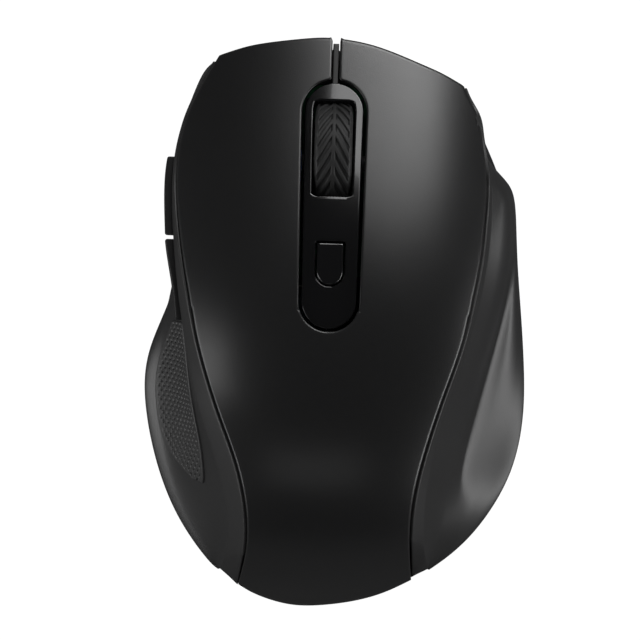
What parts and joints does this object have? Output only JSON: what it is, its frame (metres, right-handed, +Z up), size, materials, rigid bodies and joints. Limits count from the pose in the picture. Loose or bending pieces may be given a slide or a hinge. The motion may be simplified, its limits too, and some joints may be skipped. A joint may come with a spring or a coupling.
{
  "type": "wireless mouse",
  "caption": "Right-handed ergonomic wireless computer mouse with click buttons, scroll wheel, thumb buttons, rubber thumb grip, battery door and stowed receiver.",
  "frame": {"origin": "on the desk, under the middle of the mouse's outline", "axes": "+Y towards the front, where the buttons and the wheel are; +X to the user's right; +Z up"},
  "size_m": [0.0718, 0.108, 0.039],
  "materials": {
    "cover_plastic": "soft-touch, fine grain",
    "shell_plastic": "satin, fine spark texture",
    "gloss_plastic": "polished black",
    "button_plastic": "satin",
    "grip_rubber": "matt with fine raised dots",
    "tyre_rubber": "matt, moulded tread",
    "wheel_plastic": "satin",
    "case_plastic": "fine texture",
    "glide_plastic": "smooth, slippery",
    "screw_steel": "zinc plated",
    "circuit_board": "green solder mask",
    "chip_black": "moulded",
    "plunger_plastic": "moulded",
    "encoder_plastic": "moulded",
    "led_red": "clear moulded",
    "lens_clear": "polished",
    "battery_wrap": "printed sleeve, satin",
    "spring_steel": "nickel plated",
    "receiver_plastic": "satin",
    "plug_steel": "stamped"
  },
  "bodies": {
    "mouse": {"palm_cover": "cover_plastic", "left_side_shell": "shell_plastic", "right_side_shell": "shell_plastic", "centre_strip": "gloss_plastic", "thumb_grip": "grip_rubber", "bottom_case": "case_plastic", "front_foot": "glide_plastic", "left_rear_foot": "glide_plastic", "right_rear_foot": "glide_plastic", "front_left_screw": "screw_steel", "front_right_screw": "screw_steel", "rear_left_screw": "screw_steel", "rear_right_screw": "screw_steel", "main_board": "circuit_board", "dpi_board": "circuit_board", "side_board": "circuit_board", "controller_chip": "chip_black", "sensor_chip": "chip_black", "left_switch": "chip_black", "right_switch": "chip_black", "middle_switch": "chip_black", "dpi_switch": "chip_black", "forward_switch": "chip_black", "back_switch": "chip_black", "power_switch_body": "chip_black", "wheel_encoder": "encoder_plastic", "tracking_led": "led_red", "sensor_lens": "lens_clear", "battery": "battery_wrap", "battery_spring": "spring_steel", "negative_contact": "spring_steel", "positive_contact": "spring_steel", "receiver_body": "receiver_plastic", "receiver_plug": "plug_steel"},
    "left_button": {"left_button": "cover_plastic"},
    "right_button": {"right_button": "cover_plastic"},
    "left_switch_plunger": {"left_switch_plunger": "plunger_plastic"},
    "right_switch_plunger": {"right_switch_plunger": "plunger_plastic"},
    "wheel_carrier": {"wheel_carrier": "wheel_plastic"},
    "scroll_wheel": {"scroll_wheel_hub": "wheel_plastic", "scroll_wheel_tyre": "tyre_rubber"},
    "dpi_button": {"dpi_button": "button_plastic"},
    "forward_button": {"forward_button": "button_plastic"},
    "back_button": {"back_button": "button_plastic"},
    "power_switch": {"power_switch_knob": "plunger_plastic"},
    "battery_door": {"battery_door": "case_plastic"}
  },
  "joints": [
    {"name": "left_click", "type": "hinge", "parent": "mouse", "child": "left_button", "pos_m": [-0.00166, 0.00207, 0.036], "axis": [-1, 0, 0], "range_deg": [0, 0.8], "stiffness_Nm_per_rad": 1.2, "springref_deg": -1.15},
    {"name": "right_click", "type": "hinge", "parent": "mouse", "child": "right_button", "pos_m": [-0.00166, 0.00207, 0.036], "axis": [-1, 0, 0], "range_deg": [0, 0.8], "stiffness_Nm_per_rad": 1.2, "springref_deg": -1.15},
    {"name": "left_plunger_slide", "type": "slide", "parent": "mouse", "child": "left_switch_plunger", "axis": [0, 0, -1], "range_m": [0, 0.0005], "stiffness_N_per_m": 10},
    {"name": "right_plunger_slide", "type": "slide", "parent": "mouse", "child": "right_switch_plunger", "axis": [0, 0, -1], "range_m": [0, 0.0005], "stiffness_N_per_m": 10},
    {"name": "wheel_press", "type": "slide", "parent": "mouse", "child": "wheel_carrier", "axis": [0, 0, -1], "range_m": [0, 0.0005], "stiffness_N_per_m": 1500, "springref_m": -0.0004},
    {"name": "wheel_spin", "type": "hinge", "parent": "wheel_carrier", "child": "scroll_wheel", "pos_m": [-0.00166, 0.03017, 0.0172], "axis": [1, 0, 0], "continuous": true},
    {"name": "dpi_press", "type": "slide", "parent": "mouse", "child": "dpi_button", "axis": [0, 0, -1], "range_m": [0, 0.0004], "stiffness_N_per_m": 1500, "springref_m": -0.0003},
    {"name": "forward_press", "type": "slide", "parent": "mouse", "child": "forward_button", "axis": [1, 0, 0], "range_m": [0, 0.0006], "stiffness_N_per_m": 1500, "springref_m": -0.0003},
    {"name": "back_press", "type": "slide", "parent": "mouse", "child": "back_button", "axis": [1, 0, 0], "range_m": [0, 0.0006], "stiffness_N_per_m": 1500, "springref_m": -0.0003},
    {"name": "power_slide", "type": "slide", "parent": "mouse", "child": "power_switch", "axis": [0, 1, 0], "range_m": [0, 0.003]},
    {"name": "battery_door_slide", "type": "slide", "parent": "mouse", "child": "battery_door", "axis": [0, -1, 0], "range_m": [0, 0.008]}
  ],
  "couplings": [
    {"joint": "left_plunger_slide", "follows": "left_click", "m_per_rad": 0.0355},
    {"joint": "right_plunger_slide", "follows": "right_click", "m_per_rad": 0.0355}
  ]
}
